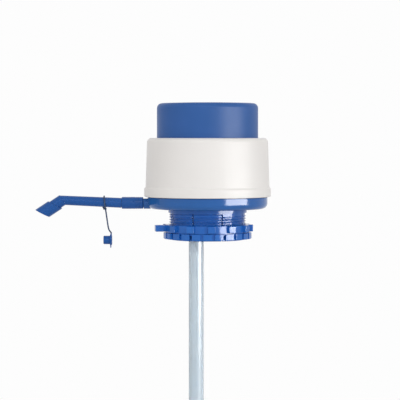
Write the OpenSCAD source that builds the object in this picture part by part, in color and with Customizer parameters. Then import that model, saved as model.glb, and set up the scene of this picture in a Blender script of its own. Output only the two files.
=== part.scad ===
// Hand pump for a large water bottle. A sprung push button squeezes a bellows, which blows
// air into the bottle through a valve plate, and the water rises through the dip tube to the
// spout. A split clamp with a ring nut grips the bottle's neck.
// The origin is the centre of the gasket's lower face, where the bottle's rim seats.
// +Z points up and the spout points along -X.

/* [Neck clamp] */
// Outer diameter of the bottle neck that the jaws grip
neck_d = 55; // [50:0.5:58]
// Radial room between the neck and the open jaws
neck_play = 0.3; // [0.2:0.1:0.6]
// Thickness of the gasket that the bottle's rim seats on
gasket_t = 3.9; // [3.4:0.1:4.6]
// Width of the gasket's ring
gasket_w = 8; // [5:0.5:9]
// Wall of the jaws at the root of their thread
jaw_wall = 1.8; // [1.4:0.1:2.2]
// Height of the clamp thread, which the running parts clear
thread_h = 1; // [0.6:0.1:1.2]
// How far the jaws reach below the gasket
jaw_len = 20.8; // [19:0.4:26]
// Number of jaws
jaw_count = 8; // [6:2:12]
// Width of the slots between the jaws
slot_w = 1; // [0.8:0.1:1.4]
// Thickness of the flange at the top of the jaws
collet_flange_t = 3; // [2.6:0.1:3.3]
// How far the collet flange stands out past the thread
collet_flange_over = 0.8; // [0.4:0.1:1.6]

/* [Ring nut and pressure ring] */
// Wall of the nut between its bore and the foot of its lugs
nut_wall = 2.9; // [2.7:0.1:3.6]
// Height of the ring nut
nut_h = 6.4; // [5.6:0.2:7.4]
// Number of grip lugs on the nut, the thumb tab included
lug_count = 13; // [8:1:16]
// Height of a grip lug
lug_h = 5.4; // [4:0.2:5.6]
// Width of a grip lug
lug_w = 6.2; // [4:0.2:8]
// How far a grip lug stands out
lug_reach = 3; // [2:0.5:5]
// How far the thumb tab stands out
tab_reach = 9; // [6:0.5:12]
// Height of the thumb tab
tab_h = 5.2; // [4:0.1:5.6]
// Angle from the front to the first lug
lug_turn = 5; // [0:1:22]
// Height of the pressure ring's toothed tier
ring_h = 4.8; // [4:0.2:6]
// Number of teeth on the pressure ring
tooth_count = 24; // [16:8:32]
// How far a tooth stands out
tooth_reach = 1.6; // [1:0.2:2.4]
// Gap between two teeth
tooth_gap = 2.3; // [1.6:0.1:3]
// Height of the hub that snaps up into the nut
hub_h = 2.4; // [2:0.1:3]

/* [Base] */
// How far the base's wall stands inside the collar's body
base_inset = 1.5; // [1.2:0.1:3]
// Height of the base's visible wall
base_h = 9.3; // [9:0.1:11]
// Radius of the base's lower edge
base_corner = 4.5; // [3:0.5:5]
// Thickness of the base's floor
floor_t = 2.5; // [2.2:0.1:3]
// How far the middle of the floor hangs down inside the gasket
well_drop = 1.9; // [1.6:0.1:2.2]
// Thickness of the base's visible wall
base_wall = 2.5; // [2:0.1:3]
// Height of the rim that the collar snaps over
rim_h = 5.3; // [4.6:0.1:6]
// Thickness of that rim
rim_wall = 2.2; // [1.8:0.1:2.4]
// Outer diameter of a screw boss
boss_d = 6.4; // [5.6:0.2:7]

/* [Collar] */
// Diameter of the collar just above its wide band
collar_d = 99; // [94:0.5:110]
// How far the wide band stands out past the collar's body
band_over = 1.15; // [0.6:0.05:2]
// Height of the wide band
band_h = 7.8; // [6:0.2:12]
// How far the collar's top is drawn in on each side
collar_draft = 1.15; // [0.4:0.05:1.5]
// Height of the collar
collar_h = 46.8; // [45:0.2:56]
// Wall of the collar at its foot
collar_wall = 2.6; // [2.2:0.1:2.9]
// Radius of the collar's upper edge
collar_corner = 3.5; // [2:0.5:4]
// Thickness of the lip round the button
lip_t = 3.2; // [2.4:0.2:4]
// Open line between the base and the collar
seam = 0.4; // [0.3:0.1:0.8]

/* [Push button] */
// Width of the collar's top from its edge to the push button
shelf_w = 7.95; // [7.6:0.05:9]
// How far the button stands above the collar at rest
button_show = 28.3; // [26.5:0.2:36]
// Travel of the button
stroke = 24; // [16:0.5:25]
// Radius of the button's upper edge
button_corner = 4; // [2:0.5:6]
// Wall of the button's skirt
button_wall = 2.2; // [1.6:0.1:2.6]
// Thickness of the button's top
button_top_t = 2.6; // [2:0.1:3.4]
// Rise of the button's domed top
dome = 0.6; // [0.2:0.1:1.2]
// Open line between the button and the collar's lip
button_gap = 0.6; // [0.4:0.1:1]

/* [Bellows and spring] */
// Room between the bellows and the button's skirt
bellows_room = 3; // [2.4:0.1:4.4]
// Depth of a fold
fold_depth = 6.2; // [5:0.2:6.6]
// Number of folds
folds = 11; // [8:1:12]
// Wall of the bellows
bellows_wall = 0.9; // [0.7:0.1:1.1]
// Thickness of the bellows' clamped flange
bellows_flange_t = 1.4; // [1:0.1:2]
// Thickness of the clamping ring
clamp_ring_t = 2.4; // [2:0.1:3]
// Number of screws in the clamping ring
screw_count = 6; // [4:2:8]
// Shank diameter of a screw
screw_d = 3; // [2.4:0.1:3.2]
// Head diameter of a screw
screw_head_d = 5.4; // [4.8:0.1:6]
// Room between the return spring and the bellows' inner folds
spring_room = 3.1; // [2:0.1:3.6]
// Diameter of the spring's wire
wire_d = 2; // [1.4:0.1:2.2]
// Number of turns in the spring
spring_turns = 9; // [6:1:11]

/* [Valves] */
// Thickness of the valve plate
plate_t = 2.4; // [2:0.1:3]
// Gap between the water channel and the outlet valve's cup
valve_gap = 0.4; // [0.4:0.1:1.2]
// Diameter of a valve disc
disc_d = 10.4; // [9.6:0.1:11]
// Thickness of a valve disc
disc_t = 1.2; // [0.8:0.1:1.4]
// Lift of a valve disc
disc_lift = 1.2; // [0.8:0.1:1.4]
// Wall of a valve cage
cage_wall = 1; // [0.8:0.1:1.2]
// Diameter of the air holes under a disc
port_d = 2.6; // [1.8:0.1:2.8]
// Outer diameter of the air pipe that passes through the base's floor
air_pipe_d = 7.2; // [6:0.2:7.4]

/* [Water way] */
// Distance from the pump's axis to the dip tube's axis
dip_offset = 9; // [8.6:0.1:10]
// Outer diameter of the elbow's nipple
nipple_d = 9.2; // [8.4:0.1:9.4]
// Length of the nipple below the base
nipple_len = 18; // [12:0.5:24]
// Height of the channel's axis above the base's underside
channel_rise = 4.6; // [4.4:0.1:4.8]
// Outer diameter of the water channel
channel_d = 6.6; // [6:0.1:6.8]
// Bore of the water channel
channel_bore = 4.4; // [3.4:0.1:4.6]
// Wall of the base's boss round the channel
boss_wall = 1.4; // [1.2:0.05:1.6]
// Length of the spigot that carries the spout
spigot_len = 8; // [6.5:0.5:10]
// Outer diameter of that spigot
spigot_d = 7; // [6.4:0.1:7.2]
// Bore of the spigot
spigot_bore = 3.6; // [3:0.1:3.8]
// Section of the O-rings in the base's floor
seal_d = 1.5; // [1.3:0.1:1.6]
// Section of the O-ring on the spigot
spout_seal_d = 0.96; // [0.8:0.02:1]

/* [Spout] */
// Gap between the base and the spout's sleeve
sleeve_gap = 0.3; // [0.2:0.1:0.6]
// Length of the sleeve
sleeve_len = 17.3; // [15:0.1:22]
// Outer diameter of the sleeve
sleeve_d = 9.5; // [9.2:0.1:10]
// Diameter of the tube where it leaves the sleeve
tube_root_d = 8; // [7.6:0.1:8.6]
// Diameter of the tube at its corner
tube_end_d = 7.4; // [6.8:0.1:7.6]
// Bore of the tube
tube_bore = 4.4; // [3.6:0.1:4.8]
// Length of the tube from the sleeve to its corner
tube_len = 47.4; // [40:0.2:60]
// Upward tilt of the tube
tube_tilt = 2.6; // [2:0.1:3.4]
// Diameter of the leg that runs on from the corner
leg_d = 9.2; // [9.2:0.1:9.8]
// Bore of that leg
leg_bore = 5.4; // [4.4:0.1:6]
// How far the leg and the nozzle point below the horizontal
bend_drop = 33.6; // [24:0.2:34]
// Distance along the nozzle's axis from the corner to its rear end
nozzle_start = 6.7; // [6.4:0.1:10]
// Length of the nozzle on its axis
nozzle_len = 12.4; // [11:0.2:20]
// Wall of the nozzle round the leg
nozzle_wall = 0.9; // [0.8:0.1:1.6]
// Diameter of the nozzle's mouth
mouth_d = 7; // [6.6:0.1:7.6]
// Slant of the nozzle's two ends
slant = 29.5; // [10:0.5:34]

/* [Dip tube] */
// Wall of the dip tube
dip_wall = 1.35; // [1:0.05:1.6]
// Length of the upper dip tube
upper_len = 232; // [120:1:300]
// Length of the lower dip tube
lower_len = 220; // [120:1:300]
// Length of the sleeve between the two tubes
joiner_len = 36; // [24:1:50]
// Wall of the joining sleeve
joiner_wall = 1.4; // [1:0.1:2]
// Length of the foot
foot_len = 24; // [18:1:32]
// How far the foot's prongs reach past the tube
prong_len = 9; // [6:0.5:12]
// Number of prongs
prong_count = 4; // [3:1:6]

/* [Cap and tether] */
// Diameter of the tether cord
tether_d = 1.2; // [1:0.05:1.3]
// Length of the stopper's plug
plug_len = 5.2; // [4.2:0.1:5.6]
// How far the stopper's flange stands out past its plug
plug_flange_over = 0.85; // [0.6:0.05:1.4]
// Thickness of the stopper's flange
plug_flange_t = 1.7; // [1.2:0.1:2]

/* [Clearances] */
// Radial running clearance of a shaft in its hole
run = 0.05; // [0.03:0.01:0.08]
// Clearance between parts that slide past or stack on each other
slip = 0.1; // [0.08:0.01:0.15]
// Clearance round a clip or a loose insert
loose = 0.2; // [0.15:0.01:0.25]
// Clearance between curved parts on different bodies
clear = 0.3; // [0.25:0.01:0.35]

/* [Hidden] */
$fn = 96;
e = 0.5;

pump_blue = [0.16, 0.31, 0.62];
cap_blue = [0.25, 0.39, 0.62];
shell_white = [0.93, 0.92, 0.91];
rubber_black = [0.12, 0.12, 0.13];
milk_clear = [0.80, 0.88, 0.94];
valve_white = [0.86, 0.88, 0.90];
steel = [0.70, 0.71, 0.73];

// Neck clamp
jaw_bore_r = neck_d / 2 + neck_play;
jaw_root_r = jaw_bore_r + jaw_wall;
jaw_crest_r = jaw_root_r + thread_h;
collet_flange_r = jaw_crest_r + collet_flange_over;
collet_band_r = jaw_root_r + thread_h * 0.4;
collet_flange_z = gasket_t - collet_flange_t;
thread_top = -2.4;
gasket_r = jaw_bore_r - clear;
gasket_bore_r = gasket_r - gasket_w;
hook_lift = 0.2;
hook_h = 1.2;
hook_over = 1.2;
hook_wall = 1.8;
hook_angle = 16;
hook_r = jaw_bore_r + 1;
hook_count = 4;

// Ring nut and pressure ring, at the lowest place that they reach when tightened
jaw_tip = 0.9;
ring_z = jaw_tip - jaw_len;
nut_z = ring_z + ring_h + slip;
nut_bore_r = jaw_crest_r + slip;
nut_r = nut_bore_r + nut_wall;
nut_top = nut_z + nut_h;
hub_wall = 1.2;
hub_r = nut_bore_r + slip + hub_wall;
hub_bead = 0.35;
hub_bead_h = 0.9;
key_w = slot_w - 2 * slip;

// Heights in the base
under_z = gasket_t;
floor_z = under_z + floor_t;
shoulder_z = under_z + base_h;
plate_z = shoulder_z + seam;
plate_top = plate_z + plate_t;
rim_top = shoulder_z + rim_h;
well_z = under_z - well_drop;
well_top = floor_z - well_drop;
well_r = gasket_bore_r - clear;
collar_r = collar_d / 2;
base_r = collar_r - base_inset;
collar_in_r = collar_r - collar_wall;
rim_r = collar_in_r - clear;
rim_in_r = rim_r - rim_wall;
plate_r = rim_in_r - clear;
ledge_r = rim_in_r - 3;
bead_z = shoulder_z + rim_h * 0.6;
bead = 0.35;
screw_r = plate_r - 4.4;
ledge_drop = 2.6;

// Collar and button
collar_top = plate_z + collar_h;
collar_top_r = collar_r - collar_draft;
button_r = collar_top_r - shelf_w;
lip_r = button_r + button_gap;
lip_z = collar_top - lip_t;
collar_top_in_r = collar_top_r - (collar_wall - 0.7);
button_top = collar_top + button_show;
button_in_r = button_r - button_wall;
head_h = 2;
ring_clamp_z = plate_top + bellows_flange_t + 2 * slip;
ring_clamp_top = ring_clamp_z + clamp_ring_t;
head_top = ring_clamp_top + slip + head_h;
skirt_z = head_top + stroke + 1;
stop_t = 2;
stop_r = collar_top_in_r - 2;
stop_z = lip_z - slip - stop_t;
guide_w = 3;
guide_count = 6;
inner_top_z = button_top - dome - button_top_t;

// Bellows and spring
bellows_r = button_in_r - bellows_room;
fold_root_r = bellows_r - fold_depth;
bellows_z = plate_top + slip;
bellows_cap_t = 1.4;
rib_drop = 0.9;
bellows_top = inner_top_z - rib_drop;
fold_z = bellows_z + bellows_flange_t;
fold_span = bellows_top - bellows_cap_t - fold_z;
fold_pitch = fold_span / folds;
fold_flat = 1.6 * bellows_wall;
flank_rise = fold_pitch / 2 - fold_flat;
flank_shift = bellows_wall * (sqrt(pow(flank_rise, 2) + pow(fold_depth, 2)) - flank_rise) / fold_depth;
bellows_flange_r = screw_r + 3.2;
ring_clamp_in_r = bellows_r + 1;
ring_clamp_r = bellows_flange_r + 0.4;
spring_z = plate_top + slip;
spring_r = fold_root_r - bellows_wall - spring_room - wire_d / 2;
spring_len = bellows_top - bellows_cap_t - slip - spring_z;
end_pitch = wire_d + 0.6;

// Valves
disc_r = disc_d / 2;
cage_in_r = disc_r + loose * 2;
cage_r = cage_in_r + cage_wall;
seat_h = 0.4;
seat_w = 0.8;
port_r = disc_r - seat_w - 0.1 - port_d / 2;
cage_sink = 0.8;
inlet_seat_z = plate_top + slip;
inlet_stop_z = inlet_seat_z + disc_t + disc_lift + slip;
outlet_closed_z = plate_z - seat_h - slip;
outlet_disc_z = outlet_closed_z - disc_t - disc_lift;
outlet_stop_z = outlet_disc_z - slip;
cage_bar = 1.4;
bar_h = 1.2;
cup_bore_r = cage_in_r + run;
cup_r = cup_bore_r + cage_wall;
valve_offset = channel_d / 2 + valve_gap + cup_r;
air_pipe_r = air_pipe_d / 2;
outlet_cage_h = 1.4;
cup_step_z = outlet_stop_z - outlet_cage_h - slip;
cup_z = floor_z + slip;

// Water way
nipple_r = nipple_d / 2;
seal_seat_z = well_z + 0.5;
seal_shoulder = seal_d + 0.6;
channel_z = under_z + channel_rise;
channel_r = channel_d / 2;
elbow_x = -dip_offset;
notch_r = channel_r + run;
base_boss_r = notch_r + boss_wall;
base_boss_x = -(base_r + 3);
sleeve_x = base_boss_x - sleeve_gap;
spigot_x = base_boss_x - spigot_len;
spigot_r = spigot_d / 2;
groove_w = spout_seal_d + 0.25;
groove_r = spigot_r - spout_seal_d - 0.02;
groove_x = spigot_x + 2.4;
nipple_z = well_z - nipple_len;

// Spout
sleeve_r = sleeve_d / 2;
sleeve_bore_r = spigot_r + run;
sleeve_end_x = sleeve_x - sleeve_len;
tube_root_x = sleeve_end_x - 0.3;
stub_end_x = spigot_x - 0.8;
turn = tube_tilt + bend_drop;
leg_r = leg_d / 2;
seat_len = 5;
leg_len = nozzle_start + seat_len;
nozzle_bore_r = leg_r + run;
nozzle_r = nozzle_bore_r + nozzle_wall;
nozzle_step = leg_len + slip;

// Dip tube
dip_bore_r = nipple_r + run;
dip_r = dip_bore_r + dip_wall;
dip_top_z = well_z - slip;
joint_z = dip_top_z - upper_len;
stop_ring_t = 1.2;
lower_top_z = joint_z - stop_ring_t;
lower_end_z = lower_top_z - lower_len;
sleeve_fit_r = dip_r + run;
joiner_r = sleeve_fit_r + joiner_wall;
foot_z = lower_end_z - prong_len;

// Stopper on its tether: its axis lies along X
plug_z = -21.2;
plug_tip_x = -83.2;
plug_flange_x = plug_tip_x + plug_len;
plug_r = mouth_d / 2 - slip;
plug_flange_r = plug_r + plug_flange_over;
lug_x = plug_flange_x + plug_flange_t / 2;
lug_top_z = plug_z + plug_flange_r + 0.8;

// The tether's turn round the spout tube, then the points down to the stopper
wrap_x = -83.9;
wrap_step = 2.4;
wrap_z = 9.1;
wrap_r = 4.75;
wrap_from = 30;
wrap_to = 340;
wrap_parts = 20;
wrap = [for (i = [0 : wrap_parts])
    let (a = wrap_from + (wrap_to - wrap_from) * i / wrap_parts)
    [wrap_x + wrap_step * a / 360, wrap_r * sin(a), wrap_z - wrap_r * cos(a)]];
hang = [[-81.5, -1.0, 4.3], [-81.5, -0.5, 3.6], [-81.4, -0.1, 2.2], [-81.1, 0, 0.4],
    [-80.8, 0, -1.8], [-80.4, 0, -4.6], [-80.0, 0, -7.4], [-79.6, 0, -10.0], [-79.1, 0, -12.2],
    [-78.5, 0, -13.6], [-77.8, 0, -14.6], [lug_x, 0, lug_top_z + 0.8], [lug_x, 0, lug_top_z]];
tether_path = concat([[-82.6, 1.0, 4.3], [-83.2, 1.7, 4.6]], wrap, hang);
knot_at = [-81.6, -0.3, 3.8];
knot_start = [-82.4, 0.7, 4.0];
tail_end = [-83.2, 0.3, 3.4];

function arc(c, r, a0, a1, n = 8) =
    [for (i = [0 : n]) c + r * [cos(a0 + (a1 - a0) * i / n), sin(a0 + (a1 - a0) * i / n)]];

function unit(v) = v / norm(v);

function heading(path, i) =
    unit(path[min(i + 1, len(path) - 1)] - path[max(i - 1, 0)]);

function tube_ring(path, i, r, sides, side_axis) =
    let (t = heading(path, i), u = unit(cross(side_axis, t)), v = cross(t, u))
    [for (k = [0 : sides - 1])
        path[i] + r * (cos(360 * k / sides) * u + sin(360 * k / sides) * v)];

function self_gap(path, r, skip) =
    min([for (i = [0 : len(path) - 1 - skip])
        for (j = [i + skip : len(path) - 1]) norm(path[i] - path[j])]) - 2 * r;

// A tube along a path, made of triangles. side_axis never lies along the path.
module swept_tube(path, r, sides, side_axis) {
    last = len(path) - 1;
    points = [for (i = [0 : last]) each tube_ring(path, i, r, sides, side_axis)];
    skin = [for (i = [0 : last - 1]) for (k = [0 : sides - 1])
        let (a = i * sides + k, b = i * sides + (k + 1) % sides)
        each [[a, a + sides, b + sides], [a, b + sides, b]]];
    start_cap = [for (k = [1 : sides - 2]) [0, k, k + 1]];
    end_cap = [for (k = [1 : sides - 2]) [last * sides, last * sides + k + 1, last * sides + k]];
    polyhedron(points, concat(start_cap, skin, end_cap), convexity = 8);
}

// A ring of rectangular section
module ring(r_in, r_out, z0, z1) {
    translate([0, 0, z0])
        difference() {
            cylinder(r = r_out, h = z1 - z0);
            translate([0, 0, -e]) cylinder(r = r_in, h = z1 - z0 + 2 * e);
        }
}

// A round bar along -X from x0 to x1, on the water channel's axis
module x_bar(x0, x1, r0, r1) {
    translate([x0, 0, channel_z]) rotate([0, -90, 0]) cylinder(h = x0 - x1, r1 = r0, r2 = r1);
}

module round_array(count, first = 0) {
    for (i = [0 : count - 1]) rotate(first + 360 * i / count) children();
}

module push_button() {
    edge_r = button_r - button_corner;
    edge_z = button_top - dome - button_corner;
    dome_r = (pow(edge_r, 2) + pow(dome, 2)) / (2 * dome);
    dome_half = asin(edge_r / dome_r);
    outer = concat([[button_r, skirt_z]], [[button_r, stop_z], [stop_r, stop_z],
        [stop_r, stop_z + stop_t], [button_r, stop_z + stop_t]],
        arc([edge_r, edge_z], button_corner, 0, 90),
        arc([0, button_top - dome_r], dome_r, 90 - dome_half * 0.8, 90, 6));
    inner = [[0, inner_top_z], [button_in_r - 2, inner_top_z], [button_in_r, inner_top_z - 2],
        [button_in_r, skirt_z]];
    locate_r = fold_root_r + 1.4;
    gusset_low = 9;
    color(cap_blue) {
        rotate_extrude() polygon(concat(outer, inner));
        ring(locate_r, locate_r + 1.6, bellows_top - 0.6, inner_top_z + e);
        ring(5, 6.4, bellows_top + slip, inner_top_z + e);
        round_array(12)
            translate([0, 0.6, 0]) rotate([90, 0, 0])
                linear_extrude(1.2)
                    polygon([[locate_r + 1, inner_top_z + e], [button_in_r + 0.4, inner_top_z + e],
                        [button_in_r + 0.4, inner_top_z - gusset_low],
                        [button_in_r - 1.2, inner_top_z - gusset_low], [button_in_r - 2.2, bellows_top],
                        [locate_r + 1, bellows_top]]);
    }
}

module collar() {
    band_r = collar_r + band_over;
    step_z = plate_z + band_h;
    groove_h = 0.8;
    wall_top = [collar_top_in_r, lip_z];
    wall_foot = [collar_in_r, step_z];
    rib_foot = ring_clamp_top + 6;
    foot_r = wall_foot.x + (wall_top.x - wall_foot.x) * (rib_foot - step_z) / (lip_z - step_z);
    outer = concat([[collar_in_r, plate_z], [band_r - 0.5, plate_z], [band_r, plate_z + 0.5],
        [band_r, step_z - 1.6], [band_r - 0.3, step_z - 1], [collar_r, step_z]],
        arc([collar_top_r - collar_corner, collar_top - collar_corner], collar_corner, 2, 90),
        [[lip_r + 0.6, collar_top], [lip_r, collar_top - 0.6], [lip_r, lip_z], wall_top]);
    color(shell_white) {
        rotate_extrude() polygon(concat(outer, [wall_foot,
            [collar_in_r, bead_z + groove_h], [collar_in_r + bead, bead_z],
            [collar_in_r, bead_z - groove_h]]));
        round_array(guide_count, 360 / guide_count / 2)
            rotate([90, 0, 0]) translate([0, 0, -guide_w / 2])
                linear_extrude(guide_w)
                    polygon([[stop_r + loose, rib_foot + 1.5], [foot_r - 0.2, rib_foot],
                        [foot_r + 0.5, rib_foot], [wall_top.x + 0.5, lip_z + 1],
                        [stop_r + loose, lip_z + 1]]);
    }
}

module bellows() {
    outside = [for (i = [0 : folds - 1]) let (z = fold_z + i * fold_pitch)
        each [[fold_root_r, z + fold_flat / 2], [bellows_r, z + fold_pitch / 2 - fold_flat / 2],
            [bellows_r, z + fold_pitch / 2 + fold_flat / 2],
            [fold_root_r, z + fold_pitch - fold_flat / 2]]];
    inside = [for (i = [folds - 1 : -1 : 0]) let (z = fold_z + i * fold_pitch,
        root = fold_flat / 2 + flank_shift, crest = max(fold_flat / 2 - flank_shift, 0.05))
        each [[fold_root_r - bellows_wall, z + fold_pitch - root],
            [bellows_r - bellows_wall, z + fold_pitch / 2 + crest],
            [bellows_r - bellows_wall, z + fold_pitch / 2 - crest],
            [fold_root_r - bellows_wall, z + root]]];
    color(rubber_black)
        difference() {
            rotate_extrude() polygon(concat([[fold_root_r - bellows_wall, bellows_z],
                [bellows_flange_r, bellows_z], [bellows_flange_r, fold_z], [fold_root_r, fold_z]],
                outside, [[fold_root_r, bellows_top], [0, bellows_top],
                [0, bellows_top - bellows_cap_t],
                [fold_root_r - bellows_wall, bellows_top - bellows_cap_t]], inside));
            screw_places() translate([0, 0, bellows_z - e]) cylinder(d = screw_d + 2 * loose, h = 3);
        }
}

module return_spring() {
    steps = 16;
    coil_len = spring_len - wire_d - 2 * end_pitch;
    free_pitch = coil_len / (spring_turns - 2);
    path = [for (i = [0 : spring_turns * steps]) let (t = i / steps,
        rise = t < 1 ? t * end_pitch
            : t > spring_turns - 1 ? end_pitch + coil_len + (t - spring_turns + 1) * end_pitch
            : end_pitch + (t - 1) * free_pitch)
        [spring_r * cos(360 * t), spring_r * sin(360 * t), spring_z + wire_d / 2 + rise]];
    echo(str("Least gap of the return spring to itself: ", self_gap(path, wire_d / 2, steps - 2)));
    color(steel) swept_tube(path, wire_d / 2, 6, [0, 0, 1]);
}

module bellows_ring() {
    color(valve_white)
        difference() {
            ring(ring_clamp_in_r, ring_clamp_r, ring_clamp_z, ring_clamp_top);
            screw_places() translate([0, 0, ring_clamp_z - e])
                cylinder(d = screw_d + 2 * loose, h = clamp_ring_t + 2 * e);
        }
}

module screw_places() {
    round_array(screw_count, 180 / screw_count) translate([screw_r, 0, 0]) children();
}

module ring_screws() {
    shank_z = floor_z + 2;
    head_z = ring_clamp_top + slip;
    color(steel) screw_places() {
        difference() {
            union() {
                translate([0, 0, head_z]) cylinder(d = screw_head_d, h = head_h - 0.6);
                translate([0, 0, head_z + head_h - 0.6])
                    cylinder(d1 = screw_head_d, d2 = screw_head_d - 1.6, h = 0.6);
            }
            for (a = [0, 90]) rotate(a)
                translate([-1.4, -0.35, head_z + head_h - 1.1]) cube([2.8, 0.7, 2]);
        }
        translate([0, 0, shank_z]) cylinder(d = screw_d, h = head_z - shank_z + 0.1);
        translate([0, 0, shank_z - 1]) cylinder(d1 = 0.8, d2 = screw_d, h = 1);
    }
}

// The four air holes of a valve, round its own centre
module ports(z0, z1) {
    round_array(4, 45) translate([port_r, 0, z0]) cylinder(d = port_d, h = z1 - z0);
}

module inlet_place() {
    translate([0, valve_offset, 0]) children();
}

module outlet_place() {
    translate([0, -valve_offset, 0]) children();
}

module valve_plate() {
    color(valve_white)
        difference() {
            union() {
                translate([0, 0, plate_z]) cylinder(r = plate_r, h = plate_t);
                ring(spring_r + wire_d / 2 + 0.4, spring_r + wire_d / 2 + 1.6, plate_top - e,
                    plate_top + 1.4);
                outlet_place() {
                    ring(cup_bore_r, cup_r, cup_step_z - e, plate_z + e);
                    ring(air_pipe_r - cage_wall, cup_r, cup_z, cup_step_z);
                    ring(air_pipe_r - cage_wall, air_pipe_r + seal_shoulder, well_top + slip, cup_z + e);
                    ring(air_pipe_r - cage_wall, air_pipe_r, well_z - 0.4, cup_z + e);
                    ring(disc_r - seat_w, disc_r, plate_z - seat_h, plate_z + e);
                }
            }
            inlet_place() {
                ports(plate_z - e, plate_top + e);
                ring(cage_in_r - run, cage_r + run, plate_top - cage_sink, plate_top + e);
            }
            outlet_place() ports(plate_z - e, plate_top + e);
            screw_places() translate([0, 0, plate_z - e])
                cylinder(d = screw_d + 2 * loose, h = plate_t + 2 * e);
        }
}

module valve_disc(z) {
    translate([0, 0, z]) cylinder(r = disc_r, h = disc_t);
}

module inlet_disc() {
    color(rubber_black) inlet_place() valve_disc(inlet_seat_z);
}

module outlet_disc() {
    color(rubber_black) outlet_place() valve_disc(outlet_disc_z);
}

// Two crossed bars that hold a disc back
module cage_bars(z, reach) {
    for (a = [0, 90]) rotate(a)
        translate([-reach, -cage_bar / 2, z]) cube([2 * reach, cage_bar, bar_h]);
}

module inlet_cage() {
    top_z = inlet_stop_z + bar_h;
    color(valve_white) inlet_place() {
        difference() {
            ring(cage_in_r, cage_r, plate_top - cage_sink + slip, top_z);
            for (a = [0, 90]) rotate(45 + a)
                translate([-cage_r - e, -2, plate_top + 0.6]) cube([2 * cage_r + 2 * e, 4, 1.4]);
        }
        cage_bars(inlet_stop_z, cage_in_r + 0.4);
    }
}

module outlet_cage() {
    color(valve_white) outlet_place() {
        ring(disc_r - cage_wall, cage_in_r, outlet_stop_z - outlet_cage_h, outlet_stop_z);
        cage_bars(outlet_stop_z - bar_h, disc_r - cage_wall + 0.2);
    }
}

module base_dish() {
    ledge = [[ledge_r, plate_z], [ledge_r, plate_z - 1], [base_r - base_wall, plate_z - 1 - ledge_drop]];
    well_in_r = well_r - floor_t;
    outer = concat([[0, well_z], [well_r - 0.4, well_z], [well_r, well_z + 0.4], [well_r, under_z]],
        arc([base_r - base_corner, under_z + base_corner], base_corner, -90, 0),
        [[base_r, shoulder_z - 0.3], [base_r - 0.3, shoulder_z],
        [rim_r, shoulder_z], [rim_r, bead_z - 0.6], [rim_r + bead, bead_z], [rim_r, bead_z + 0.6],
        [rim_r, rim_top - 0.5], [rim_r - 0.5, rim_top], [rim_in_r, rim_top], [rim_in_r, plate_z]]);
    inner = concat(ledge, [[base_r - base_wall, floor_z + 2.5], [base_r - base_wall - 2.5, floor_z],
        [well_in_r, floor_z], [well_in_r, well_top], [0, well_top]]);
    vent_r = screw_r - boss_d / 2 - 2.5;
    color(pump_blue)
        difference() {
            union() {
                rotate_extrude() polygon(concat(outer, inner));
                screw_places() translate([0, 0, floor_z - e])
                    cylinder(d = boss_d, h = plate_z - floor_z + e);
                screw_places() translate([0, -0.6, floor_z - e])
                    cube([base_r - base_wall - screw_r + 0.2, 1.2, plate_z - floor_z - 2]);
                intersection() {
                    x_bar(-(base_r - base_wall), base_boss_x, base_boss_r, base_boss_r);
                    translate([base_boss_x - e, -base_boss_r - e, well_z])
                        cube([10, 2 * base_boss_r + 2 * e, shoulder_z - 0.3 - well_z]);
                }
            }
            x_bar(elbow_x, base_boss_x - e, notch_r, notch_r);
            translate([base_boss_x - e, -notch_r, channel_z])
                cube([base_r + 4 - ledge_r, 2 * notch_r, rim_top - channel_z + e]);
            screw_places() translate([0, 0, floor_z + 0.8])
                cylinder(d = screw_d + 2 * run, h = plate_z - floor_z);
            translate([elbow_x, 0, 0]) seal_seat(nipple_r);
            outlet_place() seal_seat(air_pipe_r);
            round_array(hook_count, 45 - hook_angle / 2 - 1)
                rotate_extrude(angle = hook_angle + 2)
                    translate([hook_r - loose, under_z - e])
                        square([hook_wall + hook_over + 2 * loose, floor_t + 2 * e]);
            round_array(8, 22.5) translate([vent_r, 0, under_z - e])
                cylinder(d = 2.4, h = floor_t + 2 * e, $fn = 24);
        }
}

// Hole through the floor for a pipe, with the counterbore for its O-ring
module seal_seat(pipe_r) {
    translate([0, 0, well_z - e]) cylinder(r = pipe_r + 0.4, h = floor_t + 2 * e);
    translate([0, 0, seal_seat_z]) cylinder(r = pipe_r + slip + seal_d + loose, h = floor_t);
}

module o_ring(r, section) {
    rotate_extrude() translate([r, 0]) circle(d = section, $fn = 24);
}

module floor_seals() {
    seal_z = seal_seat_z + seal_d / 2 + run;
    gap = slip + seal_d / 2;
    color(rubber_black) {
        translate([elbow_x, 0, seal_z]) o_ring(nipple_r + gap, seal_d);
        outlet_place() translate([0, 0, seal_z]) o_ring(air_pipe_r + gap, seal_d);
    }
}

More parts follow.
